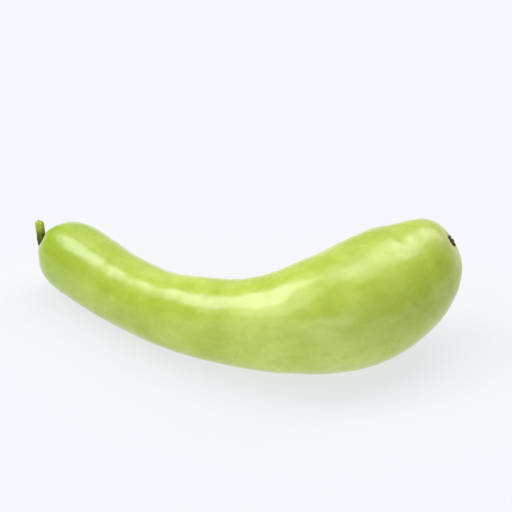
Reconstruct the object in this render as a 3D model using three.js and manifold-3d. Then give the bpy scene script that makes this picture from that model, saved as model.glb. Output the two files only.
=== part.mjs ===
// A curved bottle gourd as picked, lying on its side on a level surface: the fruit, the short cut
// stalk that it hung from, and the corky button that its dried flower left at the other end.
// Units are millimetres and +Z is up. +X runs from the stalk end to the blossom end, and the body
// bows towards -Y. The origin is on the surface, under the middle of the gourd's box.
import * as THREE from "three";
import { mergeVertices } from "three/addons/utils/BufferGeometryUtils.js";
import Module from "manifold-3d";

// The body, from the stalk end to the blossom end. Each station steers one smooth curve: where its
// middle lies in plan (x, y), the radius there, and how far its underside is lifted off the surface.
const STATIONS = [
  { x: -177.4, y: 73.4, radius: 30.7, lift: 3 },
  { x: -152.7, y: 56.2, radius: 30.8, lift: 2 },
  { x: -121, y: 21.2, radius: 28.6, lift: 0 },
  { x: -85, y: -16.8, radius: 28.4, lift: 0 },
  { x: -45, y: -42.5, radius: 31.9, lift: 0.8 },
  { x: -4, y: -58.6, radius: 34.6, lift: 1.5 },
  { x: 34, y: -64.3, radius: 43.1, lift: 0.5 },
  { x: 69, y: -56.3, radius: 49.1, lift: -1 },
  { x: 93, y: -41, radius: 50.5, lift: 0.8 },
  { x: 122.3, y: -22.7, radius: 46.3, lift: 16 },
  { x: 140.8, y: -15, radius: 41.7, lift: 35.4 },
  { x: 154.6, y: -14.3, radius: 49.8, lift: 37.4 },
];
const PRESS = 0.5; // the rind gives this much where the gourd's own weight presses it flat

// The two rounded ends: how far each runs in along the body, and the dimple in its tip.
const STALK_END = { length: 47, dimple: 2.2, dimpleRadius: 8 };
const BLOSSOM_END = { length: 77, dimple: 1.6, dimpleRadius: 7 };
const BLUNTNESS = 3; // 2 would make each end half an ellipse, and more keeps it full for longer

// The stalk leaves along the body's own line, then turns up. Rise is measured straight up.
const STALK_BEND = [
  { out: 0, rise: 0 },
  { out: 4.6, rise: 0 },
  { out: 8.4, rise: 1.2 },
  { out: 10.2, rise: 8 },
  { out: 10.6, rise: 20 },
];
const STALK_PROFILE = [
  { share: 0, radius: 5.4 },
  { share: 0.12, radius: 5.1 },
  { share: 0.35, radius: 3.9 },
  { share: 0.6, radius: 3.5 },
  { share: 0.85, radius: 3.9 },
  { share: 0.97, radius: 3.1 },
  { share: 1, radius: 1.2 },
];
const STALK_RIBS = { count: 5, height: 0.07 }; // height as a share of the stalk's radius

// The dried flower's scar: a low button with a raised rim and the stub of the style in its middle.
const SCAR_PROFILE = [
  { radius: 4.6, height: 0 },
  { radius: 5.0, height: 0.8 },
  { radius: 4.3, height: 1.5 },
  { radius: 2.6, height: 1.1 },
  { radius: 1.1, height: 1.3 },
  { radius: 0.8, height: 2.1 },
];

const GAP = 0.3; // clearance between pieces that touch
const BODY_STEPS = 80;
const BODY_SIDES = 44;
const STALK_STEPS = 26;
const STALK_SIDES = 30;
const SCAR_SIDES = 28;

const UP = new THREE.Vector3(0, 0, 1);

const wasm = await Module();
wasm.setup();

/** The four weights of a uniform cubic B-spline, a share w of the way along one of its spans. */
function splineWeights(w) {
  return [(1 - w) ** 3, 3 * w ** 3 - 6 * w ** 2 + 4, 1 + 3 * (w + w ** 2 - w ** 3), w ** 3].map(
    (weight) => weight / 6,
  );
}

/** The spline steered by a list of numbers, at t from 0 to 1. It starts and ends on the list's ends. */
function splineAt(values, t) {
  const last = values.length - 1;
  const steered = [2 * values[0] - values[1], ...values, 2 * values[last] - values[last - 1]];
  const span = Math.min(Math.floor(t * last), last - 1);
  return splineWeights(t * last - span).reduce((sum, w, i) => sum + w * steered[span + i], 0);
}

/** A smooth curve in space, steered by a list of points. */
class SmoothPath extends THREE.Curve {
  constructor(points) {
    super();
    this.axes = ["x", "y", "z"].map((axis) => points.map((point) => point[axis]));
    this.arcLengthDivisions = 600;
  }

  getPoint(t, target = new THREE.Vector3()) {
    return target.set(...this.axes.map((values) => splineAt(values, t)));
  }
}

/** How much of its full radius a rounded end keeps, at a distance in from its tip. */
function roundedShare(distance, end) {
  const inward = Math.max(0, 1 - distance / end.length);
  return Math.sqrt(1 - inward ** BLUNTNESS);
}

/** How deep an end's dimple is, at a radius from the body's middle line. */
function dimpleDepth(radius, end) {
  return end.dimple * Math.exp(-((radius / end.dimpleRadius) ** 2));
}

/**
 * Bends a lathe-turned shape along a path. The lathe's axis, from y = 0 up, becomes the path, and
 * swell scales each point's distance from it by angle.
 */
function bendAlong(turned, path, swell = () => 1) {
  const length = path.getLength();
  const position = turned.getAttribute("position");
  const from = new THREE.Vector3();
  for (let i = 0; i < position.count; i++) {
    from.fromBufferAttribute(position, i);
    const share = THREE.MathUtils.clamp(from.y / length, 0, 1);
    const tangent = path.getTangentAt(share);
    const side = tangent.clone().cross(UP).normalize();
    const rise = side.clone().cross(tangent);
    const scale = swell(Math.atan2(from.z, from.x));
    const beyond = from.y - share * length;
    const to = path
      .getPointAt(share)
      .addScaledVector(tangent, beyond)
      .addScaledVector(side, from.x * scale)
      .addScaledVector(rise, from.z * scale);
    position.setXYZ(i, to.x, to.y, to.z);
  }
  return turned;
}

/** The manifold-3d solid of a closed geometry. */
function solidOf(geometry) {
  const bare = geometry.clone();
  bare.deleteAttribute("normal");
  bare.deleteAttribute("uv");
  const merged = mergeVertices(bare, 1e-3);
  return new wasm.Manifold(
    new wasm.Mesh({
      numProp: 3,
      vertProperties: merged.getAttribute("position").array,
      triVerts: new Uint32Array(merged.index.array),
    }),
  );
}

/** The geometry of a manifold-3d solid. */
function geometryOf(solid) {
  const { vertProperties, triVerts } = solid.getMesh();
  return new THREE.BufferGeometry()
    .setAttribute("position", new THREE.BufferAttribute(vertProperties, 3))
    .setIndex(new THREE.BufferAttribute(triVerts, 1));
}

/** The body's middle line: each station's centre is its radius and its lift above the surface. */
const bodyPath = new SmoothPath(
  STATIONS.map(({ x, y, radius, lift }) => ({ x, y, z: radius + lift - PRESS })),
);
const bodyLength = bodyPath.getLength();

/** The body's radius at a distance from its stalk end, before the ends are rounded off. */
function bodyRadius(distance) {
  const radii = STATIONS.map((station) => station.radius);
  return splineAt(radii, bodyPath.getUtoTmapping(distance / bodyLength));
}

/** The fruit: a turned profile bent along the middle line, cut level where it rests. */
function makeFruit() {
  const profile = [];
  for (let i = 0; i <= BODY_STEPS; i++) {
    // Cosine steps crowd the rings towards both tips, where the profile turns quickly.
    const along = (bodyLength * (1 - Math.cos((Math.PI * i) / BODY_STEPS))) / 2;
    const onTip = i === 0 || i === BODY_STEPS;
    const rounding =
      roundedShare(along, STALK_END) * roundedShare(bodyLength - along, BLOSSOM_END);
    const radius = onTip ? 0 : bodyRadius(along) * rounding;
    const dent =
      along < bodyLength / 2 ? dimpleDepth(radius, STALK_END) : -dimpleDepth(radius, BLOSSOM_END);
    profile.push(new THREE.Vector2(radius, along + dent));
  }
  const grown = bendAlong(new THREE.LatheGeometry(profile, BODY_SIDES), bodyPath);
  grown.computeBoundingBox();
  const size = grown.boundingBox.getSize(new THREE.Vector3());
  const reach = 2 * size.length();
  const above = new THREE.BoxGeometry(reach, reach, reach).translate(0, 0, reach / 2);
  return geometryOf(solidOf(grown).intersect(solidOf(above)));
}

/** The stalk: turned, ribbed and bent up, with its foot just clear of the stalk end's dimple. */
function makeStalk() {
  const tip = bodyPath.getPointAt(0);
  const outward = bodyPath.getTangentAt(0).negate();
  const foot = dimpleDepth(STALK_PROFILE[0].radius, STALK_END) - GAP;
  const path = new SmoothPath(
    STALK_BEND.map(({ out, rise }) =>
      tip
        .clone()
        .addScaledVector(outward, out - foot)
        .addScaledVector(UP, rise),
    ),
  );
  const length = path.getLength();
  const shares = STALK_PROFILE.map((point) => point.share);
  const radii = STALK_PROFILE.map((point) => point.radius);
  const profile = [new THREE.Vector2(0, 0)];
  for (let i = 0; i <= STALK_STEPS; i++) {
    const t = i / STALK_STEPS;
    profile.push(new THREE.Vector2(splineAt(radii, t), length * splineAt(shares, t)));
  }
  profile.push(new THREE.Vector2(0, length));
  return bendAlong(
    new THREE.LatheGeometry(profile, STALK_SIDES),
    path,
    (angle) => 1 + STALK_RIBS.height * Math.cos(STALK_RIBS.count * angle),
  );
}

/** The flower scar: a turned button, seated just clear of the blossom end's dimple. */
function makeFlowerScar() {
  const last = SCAR_PROFILE[SCAR_PROFILE.length - 1];
  const seat = GAP - dimpleDepth(SCAR_PROFILE[0].radius, BLOSSOM_END);
  const profile = [
    new THREE.Vector2(0, SCAR_PROFILE[0].height),
    ...SCAR_PROFILE.map(({ radius, height }) => new THREE.Vector2(radius, height)),
    new THREE.Vector2(0, last.height),
  ];
  const outward = bodyPath.getTangentAt(1);
  return new THREE.LatheGeometry(profile, SCAR_SIDES)
    .translate(0, seat, 0)
    .applyQuaternion(
      new THREE.Quaternion().setFromUnitVectors(new THREE.Vector3(0, 1, 0), outward),
    )
    .translate(...bodyPath.getPointAt(1).toArray());
}

/** A named mesh in its own finish. */
function piece(name, geometry, color, roughness) {
  const finish = new THREE.MeshStandardMaterial({ color, roughness, metalness: 0 });
  const mesh = new THREE.Mesh(geometry, finish);
  mesh.name = name;
  return mesh;
}

const gourd = new THREE.Group();
gourd.add(
  piece("fruit", makeFruit(), 0xb0ca60, 0.38),
  piece("stalk", makeStalk(), 0x6f8424, 0.7),
  piece("flower_scar", makeFlowerScar(), 0x6b5a34, 0.9),
);

const middle = new THREE.Box3().setFromObject(gourd, true).getCenter(new THREE.Vector3());
gourd.position.set(-middle.x, -middle.y, 0);

export default gourd;
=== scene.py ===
"""A curved bottle gourd, as picked, lying on a pale surface under soft studio light.

The fruit, its stalk and its flower scar are each a surface computed on a grid, with one parameter
along a middle line and the other round it. Lengths are in metres, and every piece is made where the
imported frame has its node.
"""

import logging
import math
from dataclasses import dataclass
from enum import Enum
from typing import Optional, Union

import bpy
import numpy as np
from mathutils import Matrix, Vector


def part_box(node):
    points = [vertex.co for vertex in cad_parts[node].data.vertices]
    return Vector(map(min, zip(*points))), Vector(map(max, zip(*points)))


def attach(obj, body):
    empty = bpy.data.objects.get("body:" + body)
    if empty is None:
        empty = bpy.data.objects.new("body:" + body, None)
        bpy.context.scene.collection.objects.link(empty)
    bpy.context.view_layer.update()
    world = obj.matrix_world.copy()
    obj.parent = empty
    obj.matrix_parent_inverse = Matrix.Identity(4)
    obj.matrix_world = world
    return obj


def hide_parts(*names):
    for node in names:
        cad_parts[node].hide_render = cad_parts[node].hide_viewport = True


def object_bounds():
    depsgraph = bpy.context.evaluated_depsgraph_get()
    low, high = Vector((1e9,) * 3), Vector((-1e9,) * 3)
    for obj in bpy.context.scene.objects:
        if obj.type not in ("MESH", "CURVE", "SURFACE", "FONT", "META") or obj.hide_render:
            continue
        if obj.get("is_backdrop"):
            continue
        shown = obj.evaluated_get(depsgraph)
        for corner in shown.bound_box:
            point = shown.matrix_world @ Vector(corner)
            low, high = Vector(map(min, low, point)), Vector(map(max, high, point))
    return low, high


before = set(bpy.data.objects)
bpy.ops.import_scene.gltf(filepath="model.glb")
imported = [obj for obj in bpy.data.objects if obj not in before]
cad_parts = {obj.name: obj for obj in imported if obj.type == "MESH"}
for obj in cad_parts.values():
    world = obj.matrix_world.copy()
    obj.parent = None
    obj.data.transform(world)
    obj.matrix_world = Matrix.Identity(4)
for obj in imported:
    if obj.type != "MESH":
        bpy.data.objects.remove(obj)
CAD_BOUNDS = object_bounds()

ROOT_BODY = "root"
MM = 0.001
UP = np.array([0.0, 0.0, 1.0])

log = logging.getLogger("gourd")

Colour = tuple[float, float, float]
Inputs = dict[Union[str, int], object]


class Operation(Enum):
    """The arithmetic that the Math and Vector Math nodes do here."""

    ADD = "ADD"
    SUBTRACT = "SUBTRACT"
    MULTIPLY = "MULTIPLY"



# --------------------------------------------------------------------------------------------------
# Curves, waves and grids
# --------------------------------------------------------------------------------------------------


def spline(values: np.ndarray, t: np.ndarray) -> np.ndarray:
    """A uniform cubic B-spline that starts and ends on its first and last values.

    With w the share of the way through a span, the four values about it weigh (1 - w)^3,
    3w^3 - 6w^2 + 4, 1 + 3w + 3w^2 - 3w^3 and w^3, all over 6. The list is lengthened at each end by
    its own reflection in the end value.

    Args:
        values: The steering values, one row each.
        t: Where to read the spline, from 0 to 1.

    Returns:
        One row for each t.
    """
    steer = np.asarray(values, float).reshape(len(values), -1)
    steer = np.vstack([2 * steer[0] - steer[1], steer, 2 * steer[-1] - steer[-2]])
    spans = len(values) - 1
    span = np.clip(np.floor(t * spans).astype(int), 0, spans - 1)
    w = (t * spans - span)[:, None]
    weights = ((1 - w) ** 3, 3 * w**3 - 6 * w**2 + 4, 1 + 3 * (w + w**2 - w**3), w**3)
    return sum(weight * steer[span + i] for i, weight in enumerate(weights)) / 6


def smooth_step(low: float, high: float, x: np.ndarray) -> np.ndarray:
    """Rises from 0 at low to 1 at high as 3x^2 - 2x^3. It falls instead if low is above high."""
    x = np.clip((x - low) / (high - low), 0.0, 1.0)
    return x * x * (3 - 2 * x)


def unit(vectors: np.ndarray) -> np.ndarray:
    """The vectors, each divided by its length."""
    return vectors / np.linalg.norm(vectors, axis=-1, keepdims=True)


@dataclass(frozen=True)
class Waves:
    """Gentle swellings and hollows with no direction and no repeat.

    Attributes:
        height: The root mean square height.
        length: The middle wavelength.
        seed: Fixes the draw, so that every run gives the same skin.
        count: How many plane waves are summed.
    """

    height: float
    length: float
    seed: int
    count: int = 28

    def at(self, points: np.ndarray) -> np.ndarray:
        """The height at each point.

        It is the sum of plane waves cos(k . p + phase) with random directions, wavelengths within a
        third of the middle one and random phases, scaled to the root mean square height.

        Args:
            points: Positions, in the last axis of any array.

        Returns:
            A height for each position.
        """
        draw = np.random.default_rng(self.seed)
        heading = unit(draw.normal(size=(self.count, 3)))
        lengths = self.length * draw.uniform(0.67, 1.5, self.count)
        phases = draw.uniform(0, 2 * np.pi, self.count)
        angle = points @ (2 * np.pi * heading / lengths[:, None]).T + phases
        return self.height * math.sqrt(2 / self.count) * np.cos(angle).sum(-1)


class MiddleLine:
    """A smooth curve in space, read by distance along it."""

    SAMPLES = 4001

    def __init__(self, points: np.ndarray) -> None:
        """Samples the spline steered by the points closely, and measures it.

        Args:
            points: The steering points, one row each.
        """
        self.t = np.linspace(0, 1, self.SAMPLES)
        self.points = spline(points, self.t)
        steps = np.linalg.norm(np.diff(self.points, axis=0), axis=1)
        self.distances = np.concatenate([[0.0], np.cumsum(steps)])
        self.length = float(self.distances[-1])
        self.tangents = unit(np.gradient(self.points, self.distances, axis=0))

    def parameter(self, distance: np.ndarray) -> np.ndarray:
        """The spline's own parameter at each distance."""
        return np.interp(distance, self.distances, self.t)

    def frames(self, distance: np.ndarray) -> tuple[np.ndarray, np.ndarray, np.ndarray, np.ndarray]:
        """Position, tangent, side and rise at each distance.

        Side is the tangent crossed with straight up, rise is side crossed with the tangent, and a
        distance beyond either end carries straight on.

        Args:
            distance: Distances from the start.

        Returns:
            Four arrays with one row for each distance.
        """
        within = np.clip(distance, 0, self.length)
        place = np.stack([np.interp(within, self.distances, c) for c in self.points.T], -1)
        tangent = unit(np.stack([np.interp(within, self.distances, c) for c in self.tangents.T], -1))
        side = unit(np.cross(tangent, UP))
        rise = np.cross(side, tangent)
        return place + tangent * (distance - within)[:, None], tangent, side, rise

    def sweep(self, along: np.ndarray, radius: np.ndarray, angle: np.ndarray) -> np.ndarray:
        """A tube round the line: place + radius (cos(angle) side + sin(angle) rise).

        Args:
            along: The distance of each ring.
            radius: Radii, one row for each ring and one column for each angle.
            angle: The angles round the line.

        Returns:
            Points of shape (rings, angles, 3).
        """
        place, _, side, rise = (array[:, None, :] for array in self.frames(along))
        turn = angle[None, :, None]
        return place + radius[:, :, None] * (np.cos(turn) * side + np.sin(turn) * rise)


def grid_normals(points: np.ndarray) -> np.ndarray:
    """Outward unit normals of a tube-like grid that closes round its second axis.

    The normal is the step round the tube crossed with the step along it, each taken between a
    point's two neighbours.

    Args:
        points: The grid, of shape (rings, sides, 3).

    Returns:
        A normal for each point.
    """
    along = np.gradient(points, axis=0)
    around = np.roll(points, -1, axis=1) - np.roll(points, 1, axis=1)
    cross = np.cross(around, along)
    return cross / np.maximum(np.linalg.norm(cross, axis=-1, keepdims=True), 1e-15)


def closed_mesh(name: str, rings: np.ndarray, marks: dict[str, np.ndarray]) -> bpy.types.Object:
    """A closed, smooth mesh from rings of points, with a pole at each end.

    Each pole is the mean of its end ring. Quads join neighbouring rings, and a fan of triangles
    joins each end ring to its pole.

    Args:
        name: The object's name.
        rings: Points of shape (rings, sides, 3), going round so that faces point outwards.
        marks: Values of shape (rings, sides) or (rings, sides, 3), kept on the points by name.

    Returns:
        The new object, linked to the scene, at the origin.
    """
    count, sides = rings.shape[:2]
    index = np.arange(count * sides).reshape(count, sides)
    first, last = count * sides, count * sides + 1
    after = np.roll(index, -1, axis=1)
    quads = np.stack([index[:-1], after[:-1], after[1:], index[1:]], -1).reshape(-1, 4)
    start = np.stack([np.full(sides, first), after[0], index[0]], -1)
    finish = np.stack([np.full(sides, last), index[-1], after[-1]], -1)
    mesh = bpy.data.meshes.new(name)
    points = np.vstack([rings.reshape(-1, 3), rings[0].mean(0), rings[-1].mean(0)])
    mesh.from_pydata(points.tolist(), [], quads.tolist() + start.tolist() + finish.tolist())
    for mark, values in marks.items():
        grid = values.reshape(count, sides, -1)
        flat = grid.reshape(count * sides, -1)
        full = np.vstack([flat, grid[0].mean(0), grid[-1].mean(0)])
        is_vector = full.shape[1] == 3
        layer = mesh.attributes.new(mark, "FLOAT_VECTOR" if is_vector else "FLOAT", "POINT")
        layer.data.foreach_set("vector" if is_vector else "value", full.astype(np.float32).ravel())
    mesh.polygons.foreach_set("use_smooth", np.ones(len(mesh.polygons), bool))
    mesh.update()
    piece = bpy.data.objects.new(name, mesh)
    bpy.context.scene.collection.objects.link(piece)
    return piece


def place_piece(piece: bpy.types.Object, node: str, finish: bpy.types.Material) -> None:
    """Dresses a piece and puts it on the frame in place of its node.

    Args:
        piece: The piece, already where the frame has its node.
        node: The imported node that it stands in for.
        finish: Its material.
    """
    piece.data.materials.append(finish)
    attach(piece, ROOT_BODY)
    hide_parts(node)
    low, high = (np.array(corner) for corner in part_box(node))
    size = (high - low) / MM
    log.info("%s: %d faces, node box %.1f x %.1f x %.1f mm", piece.name, len(piece.data.polygons), *size)


# --------------------------------------------------------------------------------------------------
# Shader building
# --------------------------------------------------------------------------------------------------

Operand = Union["Value", float, int]


class Value:
    """A number that varies over a surface, with the arithmetic operators making Math nodes."""

    def __init__(self, shader: "Shader", socket: bpy.types.NodeSocket) -> None:
        """Keeps the shader that the socket belongs to."""
        self.shader = shader
        self.socket = socket

    def _math(self, operation: Operation, *operands: Operand) -> "Value":
        """A Math node of one operation on two operands."""
        settings = {"operation": operation.value}
        return self.shader.value("ShaderNodeMath", settings, dict(enumerate(operands)))

    def __add__(self, other: Operand) -> "Value":
        """This plus other."""
        return self._math(Operation.ADD, self, other)

    def __radd__(self, other: Operand) -> "Value":
        """Other plus this."""
        return self._math(Operation.ADD, other, self)

    def __sub__(self, other: Operand) -> "Value":
        """This less other."""
        return self._math(Operation.SUBTRACT, self, other)

    def __rsub__(self, other: Operand) -> "Value":
        """Other less this."""
        return self._math(Operation.SUBTRACT, other, self)

    def __mul__(self, other: Operand) -> "Value":
        """This times other."""
        return self._math(Operation.MULTIPLY, self, other)

    def __rmul__(self, other: Operand) -> "Value":
        """Other times this."""
        return self._math(Operation.MULTIPLY, other, self)

    def rising(self, low: float, high: float) -> "Value":
        """0 at low and 1 at high, with a smooth step between. It falls if low is above high.

        Args:
            low: Where the result is 0.
            high: Where the result is 1.

        Returns:
            The stepped value.
        """
        flip = low > high
        ends = {"From Min": min(low, high), "From Max": max(low, high)}
        ends |= {"To Min": float(flip), "To Max": float(not flip), "Value": self}
        return self.shader.value("ShaderNodeMapRange", {"interpolation_type": "SMOOTHSTEP"}, ends)


class Shader:
    """The nodes of one material or world."""

    def __init__(self, holder: Union[bpy.types.Material, bpy.types.World]) -> None:
        """Empties the holder's nodes, ready for new ones.

        Args:
            holder: The material or world.
        """
        self.holder = holder
        self.holder.use_nodes = True
        self.tree = self.holder.node_tree
        self.tree.nodes.clear()

    @classmethod
    def for_material(cls, name: str) -> "Shader":
        """The nodes of a new material."""
        return cls(bpy.data.materials.new(name))

    def node(self, kind: str, settings: dict[str, object], inputs: Inputs) -> bpy.types.Node:
        """Adds one node.

        Args:
            kind: The node's type.
            settings: Its own settings, by name, set before its sockets. "stops" holds a ramp's
                positions and colours.
            inputs: Numbers, colours, Values or sockets, by the socket's name or number.

        Returns:
            The node.
        """
        node = self.tree.nodes.new(kind)
        for name, setting in settings.items():
            if name == "stops":
                self._set_stops(node.color_ramp, setting)
            else:
                setattr(node, name, setting)
        for name, given in inputs.items():
            source = given.socket if isinstance(given, Value) else given
            if isinstance(source, bpy.types.NodeSocket):
                self.tree.links.new(source, node.inputs[name])
            else:
                node.inputs[name].default_value = source
        return node

    @staticmethod
    def _set_stops(ramp: bpy.types.ColorRamp, stops: list[tuple[float, Colour]]) -> None:
        """Gives a ramp its stops.

        Args:
            ramp: The ramp.
            stops: Positions and colours, in order.
        """
        while len(ramp.elements) < len(stops):
            ramp.elements.new(1.0)
        for element, (position, colour) in zip(ramp.elements, stops):
            element.position = position
            element.color = (*colour, 1.0)

    def value(self, kind: str, settings: dict[str, object], inputs: Inputs) -> Value:
        """The first output of a new node, as a Value."""
        return Value(self, self.node(kind, settings, inputs).outputs[0])

    def place(self) -> bpy.types.NodeSocket:
        """The surface's place in the object's own coordinates."""
        return self.node("ShaderNodeTexCoord", {}, {}).outputs["Object"]

    def mark(self, name: str) -> bpy.types.Node:
        """The node that reads a value or vector kept on the mesh's points."""
        return self.node("ShaderNodeAttribute", {"attribute_name": name}, {})

    def number(self, name: str) -> Value:
        """A number kept on the mesh's points."""
        return Value(self, self.mark(name).outputs["Fac"])

    def stretched(self, where: bpy.types.NodeSocket, scale: Colour) -> bpy.types.NodeSocket:
        """Coordinates scaled along each axis."""
        settings = {"operation": Operation.MULTIPLY.value}
        return self.node("ShaderNodeVectorMath", settings, {0: where, 1: scale}).outputs[0]

    def noise(
        self, where: bpy.types.NodeSocket, size: float, detail: float = 2.0, rough: float = 0.5
    ) -> Value:
        """Soft noise from 0 to 1.

        Args:
            where: The coordinates it follows.
            size: The width of its largest blotches, in metres.
            detail: How many finer layers are added.
            rough: How strong each finer layer is beside the last.

        Returns:
            The noise.
        """
        inputs = {"Vector": where, "Scale": 1 / size, "Detail": detail, "Roughness": rough}
        return self.value("ShaderNodeTexNoise", {}, inputs)

    def cells(self, where: bpy.types.NodeSocket, size: float) -> Value:
        """The distance to the nearest of some scattered points, in cell widths."""
        inputs = {"Vector": where, "Scale": 1 / size}
        return self.value("ShaderNodeTexVoronoi", {"feature": "F1"}, inputs)

    def blend(
        self,
        base: Union[Colour, bpy.types.NodeSocket],
        over: Union[Colour, bpy.types.NodeSocket],
        share: Operand,
    ) -> bpy.types.NodeSocket:
        """One colour laid over another.

        Args:
            base: The colour underneath.
            over: The colour on top.
            share: How much of the top colour shows.

        Returns:
            The mixed colour.
        """
        base, over = ((*c, 1.0) if isinstance(c, tuple) else c for c in (base, over))
        settings = {"data_type": "RGBA", "blend_type": "MIX", "clamp_factor": True}
        node = self.node("ShaderNodeMix", settings, {0: share, 6: base, 7: over})
        return node.outputs[2]

    def ramp(self, value: Value, stops: list[tuple[float, Colour]]) -> bpy.types.NodeSocket:
        """A colour that follows a value through stops."""
        return self.node("ShaderNodeValToRGB", {"stops": stops}, {0: value}).outputs[0]

    def bump(
        self, height: Value, distance: float, under: Optional[bpy.types.NodeSocket] = None
    ) -> bpy.types.NodeSocket:
        """A normal tilted by a height.

        Args:
            height: The height, where 1 stands the distance proud.
            distance: The height of a 1, in metres.
            under: A normal that this one adds to.

        Returns:
            The normal.
        """
        inputs = {"Height": height, "Distance": distance}
        if under is not None:
            inputs["Normal"] = under
        return self.node("ShaderNodeBump", {}, inputs).outputs[0]

    def surface(self, inputs: Inputs) -> bpy.types.Material:
        """Ends the material in a Principled surface and returns it."""
        skin = self.node("ShaderNodeBsdfPrincipled", {}, inputs)
        self.node("ShaderNodeOutputMaterial", {}, {"Surface": skin.outputs[0]})
        return self.holder


# --------------------------------------------------------------------------------------------------
# Finishes
# --------------------------------------------------------------------------------------------------


@dataclass(frozen=True)
class RindFinish:
    """The waxy yellow-green rind, mottled, with pale flecks and faint streaks."""

    light: Colour = (0.590, 0.720, 0.150)
    middle: Colour = (0.490, 0.622, 0.080)
    deep: Colour = (0.390, 0.520, 0.036)
    # The neck's deeper green: partly the neck's own greener colour, partly painted shade.
    neck: Colour = (0.350, 0.495, 0.035)
    fleck: Colour = (0.700, 0.800, 0.260)
    # The tan about the flower scar: partly the rind's own colour, partly painted light, laid on paler where
    # the lamps leave it in shade.
    tan: Colour = (0.760, 0.740, 0.290)
    scuff: Colour = (0.520, 0.500, 0.200)
    roughness: float = 0.27
    coat: float = 0.22
    coat_roughness: float = 0.12
    glow: float = 0.10
    glow_radius: Colour = (1.0, 0.9, 0.25)
    glow_scale: float = 4 * MM
    patch_size: float = 70 * MM
    cloud_size: float = 22 * MM
    streak_size: float = 5 * MM
    blot_size: float = 11 * MM
    mottle_size: float = 9 * MM
    speck_size: float = 2.6 * MM
    speck_cluster_size: float = 14 * MM
    scuff_size: float = 2.2 * MM
    rubbed_size: float = 26 * MM
    dent_size: float = 7 * MM
    dent_height: float = 0.20 * MM
    pore_size: float = 1.6 * MM
    pore_height: float = 0.04 * MM

    def material(self) -> bpy.types.Material:
        """Builds the rind's nodes.

        Returns:
            The finished material.
        """
        s = Shader.for_material("rind")
        place = s.place()
        straight = s.mark("straight").outputs["Vector"]
        clouds = s.noise(place, self.cloud_size, 3.0, 0.55)
        skin = self._ground(s, place, straight, clouds)
        skin = self._flecks(s, place, straight, skin)
        near_scar = s.number("near_scar")
        neck_tint_and_shade = s.number("neck_tint_and_shade")
        # Painted shade: the thick end is laid over with a deeper green for the darker core it shows under
        # the top light.
        skin = s.blend(skin, self.deep, s.number("thick_end_painted_shade") * 0.30)
        # Painted light: the tan about the scar, partly the rind's own colour, is laid on paler than the
        # rind.
        skin = s.blend(skin, self.tan, near_scar * (0.35 + 0.60 * clouds))
        # Painted shade over the neck, partly the neck's own greener colour.
        skin = s.blend(skin, self.neck, neck_tint_and_shade * 0.85)
        dull = self.roughness + clouds * 0.10 + near_scar * 0.18 - 0.05
        pores = s.noise(place, self.pore_size, 2.0, 0.6)
        dents = s.noise(place, self.dent_size, 2.0, 0.5)
        dented = s.bump(dents, self.dent_height)
        normal = s.bump(pores, self.pore_height, under=dented)
        return s.surface(
            {
                "Base Color": skin,
                "Roughness": dull,
                "Normal": normal,
                "Coat Weight": self.coat,
                "Coat Roughness": self.coat_roughness,
                "Subsurface Weight": self.glow,
                "Subsurface Radius": self.glow_radius,
                "Subsurface Scale": self.glow_scale,
            }
        )

    def _ground(
        self, s: Shader, place: bpy.types.NodeSocket, straight: bpy.types.NodeSocket, clouds: Value
    ) -> bpy.types.NodeSocket:
        """The ground colour: wide patches and smaller clouds of deeper and lighter green, with streaks.

        Args:
            s: The shader that it goes in.
            place: Coordinates on the fruit.
            straight: Coordinates on the fruit as if it were straight.
            clouds: The smaller clouds.

        Returns:
            The colour.
        """
        patches = s.noise(place, self.patch_size, 2.0, 0.45)
        tone = patches * 0.6 + clouds * 0.4
        skin = s.ramp(tone, [(0.36, self.deep), (0.50, self.middle), (0.66, self.light)])
        streaks = s.noise(s.stretched(straight, (1.0, 1.0, 0.08)), self.streak_size, 3.0, 0.6)
        skin = s.blend(skin, self.light, streaks.rising(0.52, 0.80) * 0.35)
        blots = s.noise(s.stretched(straight, (1.0, 1.0, 0.6)), self.blot_size, 3.0, 0.5)
        return s.blend(skin, self.deep, blots.rising(0.52, 0.70) * 0.40)

    def _flecks(
        self,
        s: Shader,
        place: bpy.types.NodeSocket,
        straight: bpy.types.NodeSocket,
        skin: bpy.types.NodeSocket,
    ) -> bpy.types.NodeSocket:
        """Pale mottles and tiny specks over the ground colour, and a few thin scuffs.

        Args:
            s: The shader that they go in.
            place: Coordinates on the fruit.
            straight: Coordinates on the fruit as if it were straight.
            skin: The colour under them.

        Returns:
            The colour.
        """
        mottle = s.cells(s.stretched(straight, (1.0, 1.0, 0.55)), self.mottle_size)
        skin = s.blend(skin, self.fleck, mottle.rising(0.34, 0.10) * 0.16)
        specks = s.cells(place, self.speck_size)
        clusters = s.noise(place, self.speck_cluster_size, 1.0)
        speckled = specks.rising(0.22, 0.08) * clusters.rising(0.45, 0.65) * 0.30
        skin = s.blend(skin, self.fleck, speckled)
        lines = s.noise(s.stretched(straight, (1.0, 1.0, 0.20)), self.scuff_size, 2.0, 0.5)
        rubbed = s.noise(straight, self.rubbed_size, 2.0, 0.6)
        scuffed = lines.rising(0.66, 0.72) * rubbed.rising(0.58, 0.68) * 0.45
        return s.blend(skin, self.scuff, scuffed)


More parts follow.
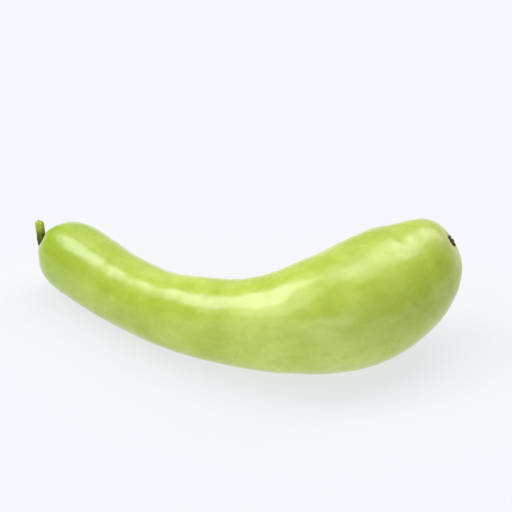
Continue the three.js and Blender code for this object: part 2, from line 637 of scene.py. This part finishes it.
@dataclass(frozen=True)
class StalkFinish:
    """The green stalk: yellow-green tip, partly painted light; dark foot, partly painted shade; ribbed,
    small dry end.
    """

    green: Colour = (0.115, 0.165, 0.009)
    # Partly the tip's own yellow-green, partly painted light on the lit tip and the ribs.
    bright: Colour = (0.570, 0.680, 0.095)
    # Partly the foot's own olive, partly painted shade at the foot and in the furrows.
    dark: Colour = (0.058, 0.080, 0.005)
    cork: Colour = (0.200, 0.165, 0.050)
    dry: Colour = (0.250, 0.250, 0.090)
    roughness: float = 0.58
    gloss: float = 0.25
    glow: float = 0.05
    glow_scale: float = 1.0 * MM
    fibre_size: float = 0.9 * MM
    fibre_height: float = 0.20 * MM
    blotch_size: float = 3.2 * MM
    blotch_height: float = 0.25 * MM
    ring_size: float = 0.5 * MM

    def material(self) -> bpy.types.Material:
        """Builds the stalk's nodes.

        Returns:
            The finished material.
        """
        s = Shader.for_material("stalk")
        straight = s.mark("straight").outputs["Vector"]
        up_stalk = s.number("share")
        rib = s.number("rib")
        cut = s.number("cut")
        fibres = s.noise(s.stretched(straight, (1.0, 1.0, 0.10)), self.fibre_size, 4.0, 0.65)
        blotches = s.noise(straight, self.blotch_size, 4.0, 0.6)
        # Painted shade at the foot, where it meets the fruit, and painted light towards the tip, over the
        # stalk's greens.
        skin = s.blend(self.dark, self.green, up_stalk.rising(0.25, 0.60))
        skin = s.blend(skin, self.bright, up_stalk.rising(0.52, 0.84) * (0.70 + 0.30 * blotches))
        # Painted highlight on the ribs and painted shade in the furrows.
        skin = s.blend(skin, self.bright, rib * fibres.rising(0.35, 0.75) * up_stalk * 0.40)
        skin = s.blend(skin, self.dark, (1 - rib) * fibres.rising(0.65, 0.30) * 0.45)
        corky = blotches.rising(0.54, 0.70) * (up_stalk.rising(0.50, 0.05) * 0.60 + 0.10)
        skin = s.blend(skin, self.cork, corky)
        rings = s.noise(straight, self.ring_size, 3.0, 0.6)
        skin = s.blend(skin, self.dry, cut * (0.40 + 0.60 * rings))
        skin = s.blend(skin, self.cork, cut * rings.rising(0.55, 0.70) * 0.8)
        blotched = s.bump(blotches, self.blotch_height)
        normal = s.bump(fibres, self.fibre_height, under=blotched)
        return s.surface(
            {
                "Base Color": skin,
                "Roughness": self.roughness + corky * 0.3,
                "Specular IOR Level": self.gloss,
                "Normal": normal,
                "Subsurface Weight": self.glow,
                "Subsurface Scale": self.glow_scale,
            }
        )


@dataclass(frozen=True)
class ScarFinish:
    """The dry brown flower scar: cork cracked along its rays, with painted shade darkest in its ring and
    cracks.
    """

    cork: Colour = (0.150, 0.125, 0.045)
    pale: Colour = (0.300, 0.260, 0.110)
    # Nearly black: painted shade in the scar's low ring and cracks, and the cracks between its flakes.
    char_and_painted_shade: Colour = (0.022, 0.018, 0.006)
    roughness: float = 0.88
    grain_size: float = 1.3 * MM
    grain_height: float = 0.5 * MM
    flake_size: float = 0.9 * MM
    flake_height: float = 0.25 * MM

    def material(self) -> bpy.types.Material:
        """Builds the scar's nodes.

        Returns:
            The finished material.
        """
        s = Shader.for_material("flower_scar")
        place = s.place()
        height = s.number("height")
        grain = s.noise(place, self.grain_size, 4.0, 0.65)
        flakes = s.cells(place, self.flake_size)
        # Painted shade: nearly black where the scar lies low or is cracked, cork where it stands high,
        # paler on its highest crests.
        skin = s.blend(self.char_and_painted_shade, self.cork, height.rising(0.15, 0.65) * (0.5 + 0.5 * grain))
        skin = s.blend(skin, self.pale, height.rising(0.80, 1.05) * grain.rising(0.45, 0.70) * 0.6)
        skin = s.blend(skin, self.char_and_painted_shade, flakes.rising(0.45, 0.62) * 0.5)
        flaked = s.bump(flakes, self.flake_height)
        normal = s.bump(grain, self.grain_height, under=flaked)
        return s.surface({"Base Color": skin, "Roughness": self.roughness, "Normal": normal})


@dataclass(frozen=True)
class FloorFinish:
    """A plain pale light table, lit from below, so that shadows on it stay faint."""

    top: Colour = (0.180, 0.180, 0.180)
    glow: Colour = (0.978, 0.998, 1.040)
    glow_strength: float = 0.705
    roughness: float = 0.90

    def material(self) -> bpy.types.Material:
        """Builds the table's nodes.

        Returns:
            The finished material.
        """
        s = Shader.for_material("floor")
        return s.surface(
            {
                "Base Color": (*self.top, 1.0),
                "Roughness": self.roughness,
                "Specular IOR Level": 0.0,
                "Emission Color": (*self.glow, 1.0),
                "Emission Strength": self.glow_strength,
            }
        )


# --------------------------------------------------------------------------------------------------
# The gourd
# --------------------------------------------------------------------------------------------------


@dataclass(frozen=True)
class Station:
    """One place that steers the body: its middle in plan, its radius, and its underside's lift."""

    x: float
    y: float
    radius: float
    lift: float


@dataclass(frozen=True)
class RoundedEnd:
    """How an end closes: how far in it starts, and the dimple in its tip."""

    length: float
    dimple: float
    dimple_radius: float
    bluntness: int = 3

    def share(self, distance: np.ndarray) -> np.ndarray:
        """The share of full radius left at a distance from the tip: sqrt(1 - (1 - d / length)^3)."""
        return np.sqrt(1 - np.maximum(0.0, 1 - distance / self.length) ** self.bluntness)

    def depth(self, radius: np.ndarray) -> np.ndarray:
        """The dimple's depth at a radius: its full depth times exp(-(r / r0)^2)."""
        return self.dimple * np.exp(-((radius / self.dimple_radius) ** 2))


# The body, from the stalk end to the blossom end. These numbers, and the lengths of the two rounded
# ends below, come from a least-squares fit by another program and were then rounded. They were not
# chosen by hand.
STATIONS = (
    Station(-177.4 * MM, 73.4 * MM, 30.7 * MM, 3 * MM),
    Station(-152.7 * MM, 56.2 * MM, 30.8 * MM, 2 * MM),
    Station(-121 * MM, 21.2 * MM, 28.6 * MM, 0 * MM),
    Station(-85 * MM, -16.8 * MM, 28.4 * MM, 0 * MM),
    Station(-45 * MM, -42.5 * MM, 31.9 * MM, 0.8 * MM),
    Station(-4 * MM, -58.6 * MM, 34.6 * MM, 1.5 * MM),
    Station(34 * MM, -64.3 * MM, 43.1 * MM, 0.5 * MM),
    Station(69 * MM, -56.3 * MM, 49.1 * MM, -1 * MM),
    Station(93 * MM, -41 * MM, 50.5 * MM, 0.8 * MM),
    Station(122.3 * MM, -22.7 * MM, 46.3 * MM, 16 * MM),
    Station(140.8 * MM, -15 * MM, 41.7 * MM, 35.4 * MM),
    Station(154.6 * MM, -14.3 * MM, 49.8 * MM, 37.4 * MM),
)


@dataclass(frozen=True)
class Body:
    """The fruit's smooth shape, before its skin's own lumps.

    Attributes:
        press: How far the rind is pressed in where it rests.
        stalk_end: The neck's rounding.
        blossom_end: The thick end's rounding.
        trial_rings: How many rings the trial surface has that finds the fruit's box.
        trial_sides: How many sides each of those rings has.
    """

    press: float = 0.5 * MM
    stalk_end: RoundedEnd = RoundedEnd(47 * MM, 2.2 * MM, 8 * MM)
    blossom_end: RoundedEnd = RoundedEnd(77 * MM, 1.6 * MM, 7 * MM)
    trial_rings: int = 160
    trial_sides: int = 96

    def line(self) -> MiddleLine:
        """The middle line, moved so that the fruit's box stands where the frame has it.

        Returns:
            The line.
        """
        raw = np.array([(s.x, s.y, s.radius + s.lift - self.press) for s in STATIONS])
        trial = MiddleLine(raw)
        loose = self.surface(trial, self.rings(trial, self.trial_rings), self.trial_sides)
        low, high = (np.array(corner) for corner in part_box("fruit"))
        shift = (low + high) / 2 - (loose.min((0, 1)) + loose.max((0, 1))) / 2
        return MiddleLine(raw + shift * (1, 1, 0))

    def rings(self, line: MiddleLine, count: int) -> np.ndarray:
        """Distances along the line, crowded towards both tips as (1 - cos(pi w)) / 2."""
        w = np.arange(1, count) / count
        return line.length * (1 - np.cos(np.pi * w)) / 2

    def radius(self, line: MiddleLine, along: np.ndarray) -> np.ndarray:
        """The radius at each distance, with both ends rounded off."""
        full = spline([[s.radius] for s in STATIONS], line.parameter(along))[:, 0]
        return full * self.stalk_end.share(along) * self.blossom_end.share(line.length - along)

    def surface(self, line: MiddleLine, along: np.ndarray, sides: int) -> np.ndarray:
        """The smooth skin as a grid: rings swept along the line, sunk into a dimple at each tip.

        Args:
            line: The middle line.
            along: The distance of each ring.
            sides: How many points go round each ring.

        Returns:
            Points of shape (rings, sides, 3).
        """
        radius = self.radius(line, along)
        half = line.length / 2
        dent = np.where(along < half, self.stalk_end.depth(radius), -self.blossom_end.depth(radius))
        angle = np.linspace(0, 2 * np.pi, sides, endpoint=False)
        return line.sweep(along + dent, np.repeat(radius[:, None], sides, 1), angle)


@dataclass(frozen=True)
class Fruit:
    """The fruit: its smooth body with the small unevenness of a grown skin."""

    body: Body
    line: MiddleLine
    rings: int = 420
    sides: int = 220
    # A search by another program picked the seeds of the two wider waves. They were not chosen by hand.
    waves: tuple[Waves, ...] = (
        Waves(0.36 * MM, 78 * MM, 177),
        Waves(0.15 * MM, 34 * MM, 277),
        Waves(0.035 * MM, 13 * MM, 13),
    )
    flutes: int = 7
    flute_height: float = 0.45 * MM
    flute_reach: float = 46 * MM
    puckers: int = 11
    pucker_height: float = 0.30 * MM
    pucker_reach: float = 15 * MM
    pucker_start: float = 2 * MM
    tip_reach: float = 6 * MM
    rest_fade: float = 14 * MM
    # How far from the stalk the neck's deeper green, partly painted shade, reaches.
    stalk_tint_and_shade_reach: float = 190 * MM
    # How far from the blossom end the thick end's painted shade reaches, and where it is full.
    blossom_painted_shade_reach: float = 170 * MM
    blossom_painted_shade_start: float = 30 * MM
    # How far from the flower scar its tan and painted light reach, and where they are full.
    scar_tan_and_painted_light_reach: float = 38 * MM
    scar_tan_and_painted_light_start: float = 4 * MM
    finish: RindFinish = RindFinish()

    def skin(self) -> tuple[np.ndarray, dict[str, np.ndarray]]:
        """The skin as a grid of points, and the marks that its finish follows.

        It is the smooth body moved along its normals by gentle waves, by shallow flutes
        cos(7 angle) that run in from the stalk and die away, and by puckers cos(11 angle) that
        gather at the flower scar. The waves fade out towards the surface it rests on, where it is
        pressed flat.

        Returns:
            The points, and each mark by name.
        """
        along = self.body.rings(self.line, self.rings)
        smooth = self.body.surface(self.line, along, self.sides)
        radius = np.repeat(self.body.radius(self.line, along)[:, None], self.sides, 1)
        angle = np.linspace(0, 2 * np.pi, self.sides, endpoint=False)[None, :]
        near_tip = smooth_step(0, self.tip_reach, radius)
        flute = np.cos(self.flutes * angle + 0.6 * np.sin(angle + 1.0))
        flute = flute * smooth_step(self.flute_reach, 0, along)[:, None] * near_tip
        pucker = np.cos(self.puckers * angle + 1.2 * np.sin(2 * angle))
        ones = np.ones_like(radius)
        from_blossom = (self.line.length - along)[:, None]
        on_blossom_half = from_blossom < self.line.length / 2
        gather = smooth_step(self.pucker_reach, self.pucker_start, radius)
        pucker = pucker * gather * near_tip * on_blossom_half
        lumps = sum(wave.at(smooth) for wave in self.waves)
        lumps = lumps * smooth_step(0, self.rest_fade, smooth[..., 2])
        height = lumps + self.flute_height * flute + self.pucker_height * pucker
        skin = smooth + grid_normals(smooth) * height[..., None]
        skin[..., 2] = np.maximum(skin[..., 2], 0.0)
        # Marks for the painted shade over the thick end and the neck, and for the tan and painted light
        # about the flower scar.
        blossom_painted_shade = smooth_step(self.blossom_painted_shade_reach, self.blossom_painted_shade_start, from_blossom)
        scar_tan_and_painted_light = smooth_step(self.scar_tan_and_painted_light_reach, self.scar_tan_and_painted_light_start, radius)
        marks = {
            "straight": self._straightened(radius, angle, along),
            "neck_tint_and_shade": smooth_step(self.stalk_tint_and_shade_reach, 0, along)[:, None] * ones,
            "thick_end_painted_shade": blossom_painted_shade * ones,
            "near_scar": scar_tan_and_painted_light * on_blossom_half,
        }
        return skin, marks

    def build(self) -> bpy.types.Object:
        """Makes and dresses the fruit.

        Returns:
            The dressed fruit.
        """
        skin, marks = self.skin()
        piece = closed_mesh("gourd_fruit", skin, marks)
        place_piece(piece, "fruit", self.finish.material())
        return piece

    @staticmethod
    def _straightened(radius: np.ndarray, angle: np.ndarray, along: np.ndarray) -> np.ndarray:
        """Where each point would be if the gourd were straight, so that streaks can follow it."""
        z = np.repeat(along[:, None], radius.shape[1], 1)
        return np.stack([radius * np.cos(angle), radius * np.sin(angle), z], -1)


@dataclass(frozen=True)
class Stalk:
    """The short cut stalk: ribbed, flared into the dimple at its foot, and bent up."""

    body: Body
    line: MiddleLine
    bend: tuple[tuple[float, float], ...] = (
        (0.0, 0.0),
        (4.2 * MM, 0.0),
        (7.2 * MM, 1.6 * MM),
        (8.9 * MM, 8.2 * MM),
        (9.7 * MM, 20 * MM),
    )
    profile: tuple[tuple[float, float], ...] = (
        (0.0, 6.4 * MM),
        (0.12, 5.3 * MM),
        (0.35, 3.9 * MM),
        (0.6, 3.5 * MM),
        (0.85, 3.9 * MM),
        (0.97, 3.1 * MM),
        (1.0, 1.2 * MM),
    )
    sunk: float = 0.6 * MM
    ribs: int = 5
    rib_height: float = 0.11
    twist: float = 0.7
    rings: int = 150
    sides: int = 120
    cut_rings: int = 26
    cut_rim: float = 0.35 * MM
    cut_hollow: float = 0.75 * MM
    pole_fade: float = 0.8 * MM
    unevenness: tuple[Waves, ...] = (
        Waves(0.07 * MM, 2.4 * MM, 31),
        Waves(0.12 * MM, 7 * MM, 32),
    )
    finish: StalkFinish = StalkFinish()

    def _path(self) -> MiddleLine:
        """The stalk's own middle line: out along the body's, then up.

        Returns:
            The line.
        """
        place, tangent, _, _ = self.line.frames(np.array([0.0]))
        outward = -tangent[0]
        foot = self.body.stalk_end.dimple + self.sunk
        points = [place[0] + outward * (out - foot) + UP * rise for out, rise in self.bend]
        return MiddleLine(np.array(points))

    def build(self) -> bpy.types.Object:
        """Makes and dresses the stalk.

        The side wall is the profile swept along the bend. Its radius is scaled by
        1 + rib_height (1 - 2 |sin(ribs angle / 2)|), which gives rounded ribs with narrow furrows,
        and the ribs turn slowly as they climb. The cut face closes it, dished in the middle.

        Returns:
            The dressed stalk.
        """
        path = self._path()
        t = np.linspace(0, 1, self.rings)
        steered = spline(np.array(self.profile), t)
        share, radius = steered[:, 0], steered[:, 1]
        inward = np.linspace(1, 0.02, self.cut_rings)[1:]
        rim = radius[-1]
        wall = np.concatenate([radius, rim * inward])
        rounding = np.sqrt(np.clip(1 - inward**2, 0, 1))
        dish = self.cut_rim * rounding - self.cut_hollow * smooth_step(0.8, 0.2, inward)
        along = np.concatenate([share * path.length, path.length + dish])
        climb = np.concatenate([share, np.ones(len(inward))])[:, None]
        angle = np.linspace(0, 2 * np.pi, self.sides, endpoint=False)
        turned = self.ribs * (angle[None, :] + self.twist * climb) / 2
        rib = 1 - np.abs(np.sin(turned))
        fade = np.concatenate([np.ones(len(radius)), smooth_step(0, 1, inward)])[:, None]
        swell = 1 + self.rib_height * (2 * rib - 1) * fade
        points = path.sweep(along, wall[:, None] * swell, angle)
        rough = sum(wave.at(points) for wave in self.unevenness)
        rough = rough * smooth_step(0, self.pole_fade, wall)[:, None]
        points = points + grid_normals(points) * rough[..., None]
        cut = np.concatenate([np.zeros(len(radius)), smooth_step(1.0, 0.86, inward)])
        even = np.ones((1, self.sides))
        out = wall[:, None]
        straight = [out * np.cos(angle), out * np.sin(angle), along[:, None] * even]
        marks = {
            "straight": np.stack(straight, -1),
            "share": climb * even,
            "rib": rib,
            "cut": cut[:, None] * even,
        }
        piece = closed_mesh("gourd_stalk", points, marks)
        place_piece(piece, "stalk", self.finish.material())
        return piece


@dataclass(frozen=True)
class FlowerScar:
    """The corky button that the dried flower left in the blossom end's dimple."""

    body: Body
    line: MiddleLine
    profile: tuple[tuple[float, float], ...] = (
        (4.7 * MM, 0.0),
        (5.1 * MM, 0.7 * MM),
        (4.4 * MM, 1.45 * MM),
        (3.3 * MM, 1.2 * MM),
        (2.1 * MM, 0.8 * MM),
        (1.2 * MM, 1.2 * MM),
        (0.75 * MM, 2.0 * MM),
        (0.1 * MM, 2.1 * MM),
    )
    sunk: float = -0.25 * MM
    rays: int = 5
    rings: int = 110
    sides: int = 160
    rim_start: float = 1.6 * MM
    rim_full: float = 4.2 * MM
    petal_swell: float = 0.06
    petal_rise: float = 0.22
    crack_width: float = 0.22
    crack_depth: float = 0.45 * MM
    shade_height: float = 1.5 * MM
    pole_fade: float = 0.8 * MM
    crumble: tuple[Waves, ...] = (
        Waves(0.11 * MM, 1.5 * MM, 51),
        Waves(0.12 * MM, 3.5 * MM, 52),
    )
    finish: ScarFinish = ScarFinish()

    def build(self) -> bpy.types.Object:
        """Makes and dresses the scar.

        A profile of radius against height is turned round the body's axis. The rim's radius and
        height swell and dip with cos(5 angle) where the petals stood, narrow cracks run along the
        rays, and small waves make it crumbly.

        Returns:
            The dressed scar.
        """
        tip = self.line.frames(np.array([self.line.length]))
        place, outward, side, rise = (rows[0] for rows in tip)
        seat = -self.body.blossom_end.dimple - self.sunk
        steered = spline(np.array(self.profile), np.linspace(0, 1, self.rings))
        radius, height = steered[:, :1], steered[:, 1:]
        angle = np.linspace(0, 2 * np.pi, self.sides, endpoint=False)[None, :]
        petals = np.cos(self.rays * angle + 0.5 * np.sin(2 * angle))
        rim = smooth_step(self.rim_start, self.rim_full, radius)
        crack = np.exp(-((np.sin(self.rays * angle * 1.4 + 2.0) / self.crack_width) ** 2)) * rim
        wide = radius * (1 + rim * (self.petal_swell * petals + 0.04 * np.cos(3 * angle + 1)))
        tall = seat + height * (1 + self.petal_rise * rim * petals)
        tall = tall - self.crack_depth * crack * (height > 0)
        tall = tall * np.ones_like(angle)
        around = np.cos(angle)[..., None] * side + np.sin(angle)[..., None] * rise
        points = place + outward * tall[..., None] + wide[..., None] * around
        rough = sum(wave.at(points) for wave in self.crumble) * smooth_step(0, self.pole_fade, radius)
        points = points - grid_normals(points) * rough[..., None]
        # This mark drives the scar's painted shade: low places and cracks come out darker.
        marks = {"height": (tall - seat) / self.shade_height - 0.35 * crack}
        piece = closed_mesh("gourd_flower_scar", points, marks)
        place_piece(piece, "flower_scar", self.finish.material())
        return piece


# --------------------------------------------------------------------------------------------------
# The studio
# --------------------------------------------------------------------------------------------------


@dataclass(frozen=True)
class SoftLight:
    """A soft round light, so far off that it lights everything alike.

    Attributes:
        name: The light's name.
        across: How far towards +X it stands, where the whole way to it is 1.
        away: How far towards +Y it stands. The rest of its direction is upwards.
        width: Its width as seen from the gourd, in degrees.
        strength: How bright a white card that faces it becomes.
    """

    name: str
    across: float
    away: float
    width: float
    strength: float

    def build(self) -> None:
        """Hangs the light."""
        lamp = bpy.data.lights.new(self.name, "SUN")
        lamp.angle = math.radians(self.width)
        lamp.energy = math.pi * self.strength
        holder = bpy.data.objects.new(self.name, lamp)
        up = math.sqrt(max(0.0, 1 - self.across**2 - self.away**2))
        holder.rotation_euler = Vector((self.across, self.away, up)).to_track_quat("Z", "Y").to_euler()
        bpy.context.scene.collection.objects.link(holder)


@dataclass(frozen=True)
class Studio:
    """The light table, three rows of overhead lights, a light and reflectors round it, and the camera."""

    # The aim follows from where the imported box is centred.
    aim: tuple[float, float, float] = (13.0 * MM, 10.0 * MM, 64 * MM)
    elevation: float = 30.0
    distance: float = 1.3653
    lens: float = 120.0
    sensor: float = 36.0
    floor_radius: float = 30.0
    floor_sides: int = 96
    nearest: float = 0.05
    farthest: float = 100.0
    backdrop: Colour = (0.913, 0.930, 0.965)
    ambient: float = 0.04
    # Another program picked these lights and solved for their strengths by least squares. They were
    # then rounded, and were not chosen by hand.
    lights: tuple[SoftLight, ...] = (
        SoftLight("near_left", -0.62, 0.05, 20, 0.17),
        SoftLight("near_middle", 0.02, 0.05, 20, 0.10),
        SoftLight("near_right", 0.34, 0.05, 20, 0.06),
        SoftLight("over_left", -0.62, 0.32, 20, 0.07),
        SoftLight("over_half_left", -0.46, 0.32, 20, 0.17),
        SoftLight("over_middle_left", -0.14, 0.32, 20, 0.05),
        SoftLight("over_middle", 0.02, 0.32, 20, 0.10),
        SoftLight("over_half_right", 0.34, 0.32, 20, 0.07),
        SoftLight("over_right", 0.50, 0.32, 20, 0.06),
        SoftLight("behind_left", -0.62, 0.58, 20, 0.02),
        SoftLight("behind_middle_left", -0.14, 0.58, 20, 0.04),
        SoftLight("behind_middle", 0.18, 0.58, 20, 0.08),
        SoftLight("behind_half_right", 0.34, 0.58, 20, 0.09),
        SoftLight("behind_right", 0.50, 0.58, 20, 0.06),
        SoftLight("behind_far_right", 0.66, 0.58, 20, 0.09),
        SoftLight("front_left", -0.50, -0.29, 40, 0.23),
        SoftLight("reflector_front", 0.0, -0.995, 44, 0.26),
        SoftLight("reflector_left", -0.70, -0.70, 44, 0.16),
        SoftLight("reflector_back", 0.0, 0.94, 44, 0.07),
    )

    def build(self) -> None:
        """Sets out the floor, the world, the lights and the camera."""
        self._floor()
        self._world()
        for light in self.lights:
            light.build()
        self._camera()
        bpy.context.scene.view_settings.view_transform = "Standard"

    def _floor(self) -> None:
        """A large round floor, level with the gourd's lowest point."""
        angle = np.linspace(0, 2 * np.pi, self.floor_sides, endpoint=False)
        rim = np.stack([np.cos(angle), np.sin(angle), 0 * angle], -1) * self.floor_radius
        mesh = bpy.data.meshes.new("floor")
        mesh.from_pydata(rim.tolist(), [], [list(range(self.floor_sides))])
        floor = bpy.data.objects.new("floor", mesh)
        floor.data.materials.append(FloorFinish().material())
        bpy.context.scene.collection.objects.link(floor)
        floor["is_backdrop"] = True

    def _world(self) -> None:
        """A backdrop as pale as the table, in a room that adds only a little light of its own."""
        world = bpy.data.worlds.new("studio")
        s = Shader(world)
        seen = s.node("ShaderNodeLightPath", {}, {}).outputs["Is Camera Ray"]
        room = s.node("ShaderNodeBackground", {}, {"Color": (1.0, 1.0, 1.0, 1.0), "Strength": self.ambient})
        behind = s.node("ShaderNodeBackground", {}, {"Color": (*self.backdrop, 1.0)})
        both = s.node("ShaderNodeMixShader", {}, {0: seen, 1: room.outputs[0], 2: behind.outputs[0]})
        s.node("ShaderNodeOutputWorld", {}, {"Surface": both.outputs[0]})
        bpy.context.scene.world = world

    def _camera(self) -> None:
        """A long lens that looks along +Y and down."""
        tilt = math.radians(self.elevation)
        back = Vector((0.0, -math.cos(tilt), math.sin(tilt)))
        lens = bpy.data.cameras.new("camera")
        lens.lens = self.lens
        lens.sensor_width = self.sensor
        lens.clip_start = self.nearest
        lens.clip_end = self.farthest
        camera = bpy.data.objects.new("camera", lens)
        camera.location = Vector(self.aim) + back * self.distance
        camera.rotation_euler = (math.pi / 2 - tilt, 0.0, 0.0)
        bpy.context.scene.collection.objects.link(camera)
        bpy.context.scene.camera = camera


def write_sizes() -> None:
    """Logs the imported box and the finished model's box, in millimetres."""
    boxes = {"cad": CAD_BOUNDS, "visual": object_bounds()}
    for name, (low, high) in boxes.items():
        log.info("%s box, mm: %s to %s", name, *(np.round(np.array(c) / MM, 2) for c in (low, high)))


def main() -> None:
    """Builds the gourd and the studio, in order, and reports each piece."""
    logging.basicConfig(level=logging.INFO, format="%(name)s: %(message)s")
    Studio().build()
    body = Body()
    line = body.line()
    log.info("middle line: %.1f mm long", line.length / MM)
    Fruit(body, line).build()
    Stalk(body, line).build()
    FlowerScar(body, line).build()
    write_sizes()


if __name__ == "__main__":
    main()
